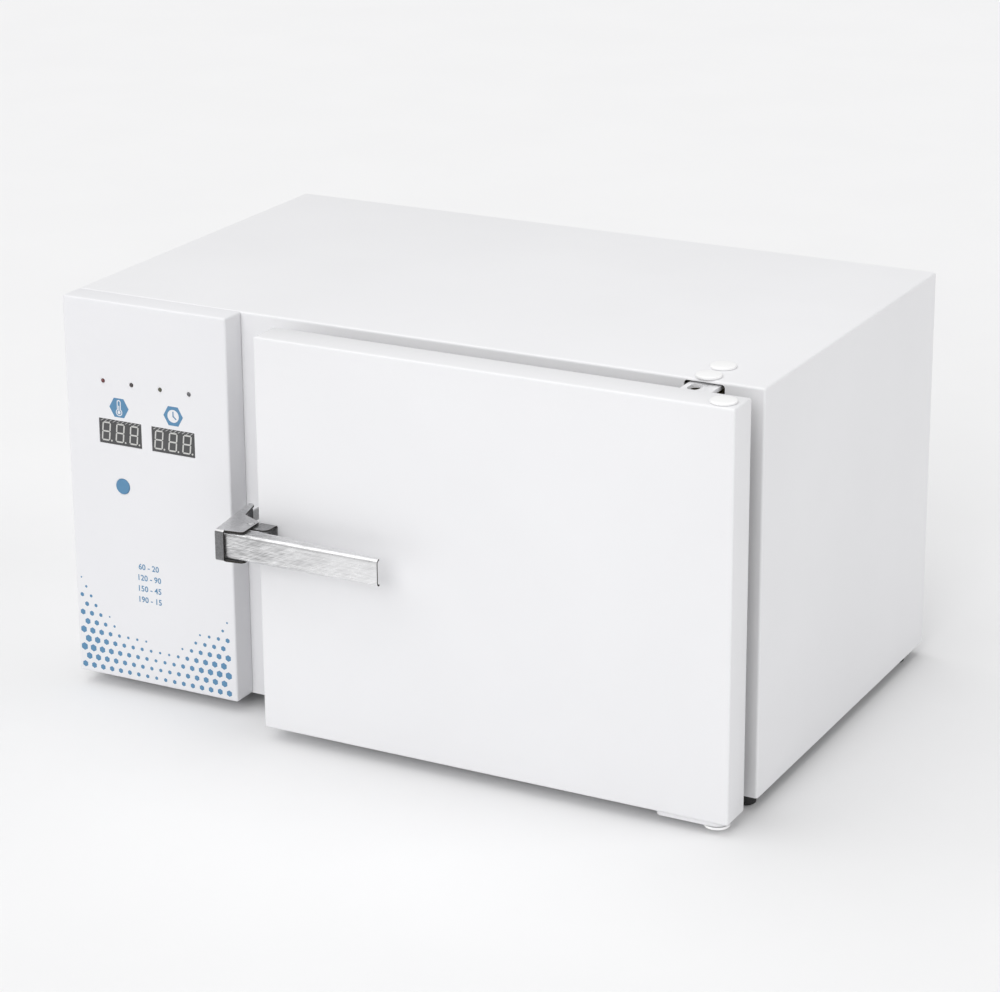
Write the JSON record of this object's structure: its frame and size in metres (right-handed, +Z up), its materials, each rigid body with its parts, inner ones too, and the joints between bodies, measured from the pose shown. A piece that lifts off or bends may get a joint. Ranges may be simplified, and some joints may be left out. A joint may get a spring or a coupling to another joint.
{
  "type": "dry heat sterilizer",
  "caption": "Bench dry heat sterilizer: a white sheet steel cabinet with a control box on the left and an insulated door hinged on the right, held by a steel latch lever",
  "frame": {"origin": "centre of the bounding box's bottom, on the surface that the feet stand on", "axes": "+X to the right seen from the front, +Y from the door to the rear, +Z up"},
  "size_m": [0.572, 0.4236, 0.3213],
  "materials": {
    "white_paint": "smooth satin white powder coat",
    "panel_paint": "satin printed light grey",
    "stainless": "brushed stainless steel",
    "dark_steel": "dark steel",
    "zinc_sheet": "zinc plated sheet",
    "black_rubber": "matt black rubber",
    "silicone": "silicone rubber",
    "mineral_wool": "mineral wool",
    "circuit_board": "circuit board",
    "black_plastic": "black plastic",
    "display_window": "dark grey display face, unlit",
    "blue_plastic": "blue plastic",
    "red_light": "red indicator",
    "dark_light": "dark indicator",
    "olive_light": "olive indicator",
    "clear_light": "clear indicator"
  },
  "bodies": {
    "cabinet": {"outer_cover": "white_paint", "front_fascia": "white_paint", "rear_panel": "white_paint", "upper_hinge_arm": "white_paint", "lower_hinge_arm": "white_paint", "hinge_cap_front": "white_paint", "hinge_cap_rear": "white_paint", "control_panel_box": "panel_paint", "chamber": "stainless", "runner_left_lower": "stainless", "runner_left_upper": "stainless", "runner_right_lower": "stainless", "runner_right_upper": "stainless", "temperature_probe": "stainless", "latch_strike": "stainless", "lower_arm_screw_front": "stainless", "lower_arm_screw_rear": "stainless", "transformer": "dark_steel", "base_pan": "zinc_sheet", "partition": "zinc_sheet", "heater_bottom": "zinc_sheet", "heater_top": "zinc_sheet", "foot_front_left": "black_rubber", "foot_front_right": "black_rubber", "foot_rear_left": "black_rubber", "foot_rear_right": "black_rubber", "insulation_wrap": "mineral_wool", "control_board": "circuit_board", "power_board": "circuit_board", "button_switch": "black_plastic", "overheat_cutout": "black_plastic", "relay": "black_plastic", "mains_inlet": "black_plastic", "display_left": "display_window", "display_right": "display_window", "led_1": "red_light", "led_2": "dark_light", "led_3": "olive_light", "led_4": "clear_light"},
    "door": {"door_outer": "white_paint", "door_inner_pan": "stainless", "door_insulation": "mineral_wool", "door_gasket": "silicone", "upper_hinge_pin": "white_paint", "lower_hinge_pin": "white_paint", "latch_bracket": "stainless", "latch_pin": "stainless"},
    "latch": {"latch_hook": "stainless", "latch_lever": "stainless", "latch_roller": "dark_steel"},
    "button": {"program_button": "blue_plastic"},
    "lower_tray": {"tray_lower": "stainless"},
    "upper_tray": {"tray_upper": "stainless"}
  },
  "joints": [
    {"name": "door_hinge", "type": "hinge", "parent": "cabinet", "child": "door", "pos_m": [0.273, -0.1675, 0.164], "axis": [0, 0, 1], "range_deg": [0, 100]},
    {"name": "latch_turn", "type": "hinge", "parent": "door", "child": "latch", "pos_m": [-0.0955, -0.189, 0.1648], "axis": [0, 0, -1], "range_deg": [0, 18]},
    {"name": "button_press", "type": "slide", "parent": "cabinet", "child": "button", "axis": [0, 1, 0], "range_m": [0, 0.0012], "stiffness_N_per_m": 400},
    {"name": "tray_lower_slide", "type": "slide", "parent": "cabinet", "child": "lower_tray", "axis": [0, -1, 0], "range_m": [0, 0.032]},
    {"name": "tray_upper_slide", "type": "slide", "parent": "cabinet", "child": "upper_tray", "axis": [0, -1, 0], "range_m": [0, 0.032]}
  ]
}
